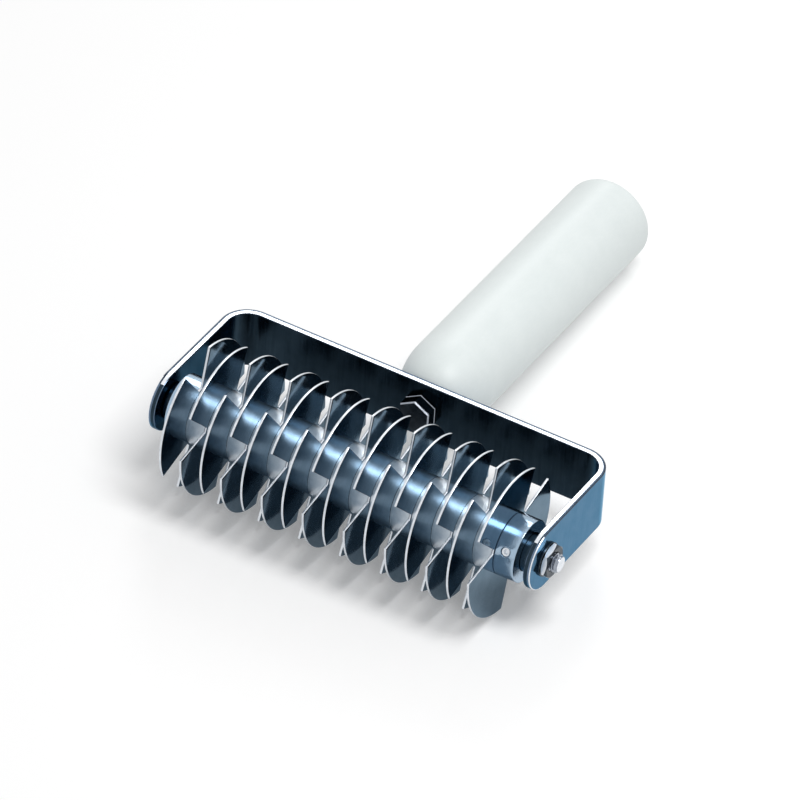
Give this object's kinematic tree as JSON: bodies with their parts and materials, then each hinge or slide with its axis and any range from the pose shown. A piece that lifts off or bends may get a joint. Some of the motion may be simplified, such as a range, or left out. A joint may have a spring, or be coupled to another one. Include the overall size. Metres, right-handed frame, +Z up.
{
  "type": "lattice roller cutter",
  "caption": "Hand-held pastry roller with staggered notched cutting discs on an axle in a bent-strip yoke, and a straight round handle.",
  "frame": {"origin": "centre of the bounding box, on the surface that the tool stands on", "axes": "+X along the axle to the right seen from the roller's side, +Y from the roller towards the handle's end, +Z up; the tool stands on its discs and the handle's end, so its handle droops a little"},
  "size_m": [0.1386, 0.1782, 0.0475],
  "materials": {
    "polished_steel": "polished",
    "plated_steel": "satin",
    "brass": "satin",
    "white_plastic": "satin"
  },
  "bodies": {
    "frame": {"yoke": "polished_steel", "handle": "white_plastic", "handle_insert": "brass", "handle_bolt": "plated_steel", "axle": "plated_steel", "axle_washer": "plated_steel", "axle_nut": "plated_steel"},
    "roller": {"core_tube": "polished_steel", "end_collar_left": "polished_steel", "end_collar_right": "polished_steel", "collar_screw_left": "plated_steel", "collar_screw_right": "plated_steel", "cutting_disc_01": "polished_steel", "cutting_disc_02": "polished_steel", "cutting_disc_03": "polished_steel", "cutting_disc_04": "polished_steel", "cutting_disc_05": "polished_steel", "cutting_disc_06": "polished_steel", "cutting_disc_07": "polished_steel", "cutting_disc_08": "polished_steel", "cutting_disc_09": "polished_steel", "cutting_disc_10": "polished_steel", "cutting_disc_11": "polished_steel", "cutting_disc_12": "polished_steel", "cutting_disc_13": "polished_steel", "cutting_disc_14": "polished_steel", "cutting_disc_15": "polished_steel", "cutting_disc_16": "polished_steel", "spacer_01": "polished_steel", "spacer_02": "polished_steel", "spacer_03": "polished_steel", "spacer_04": "polished_steel", "spacer_05": "polished_steel", "spacer_06": "polished_steel", "spacer_07": "polished_steel", "spacer_08": "polished_steel", "spacer_09": "polished_steel", "spacer_10": "polished_steel", "spacer_11": "polished_steel", "spacer_12": "polished_steel", "spacer_13": "polished_steel", "spacer_14": "polished_steel", "spacer_15": "polished_steel"}
  },
  "joints": [
    {"name": "roller_spin", "type": "hinge", "parent": "frame", "child": "roller", "pos_m": [-0.0017, -0.06538, 0.02375], "axis": [1, 0, 0], "continuous": true}
  ]
}
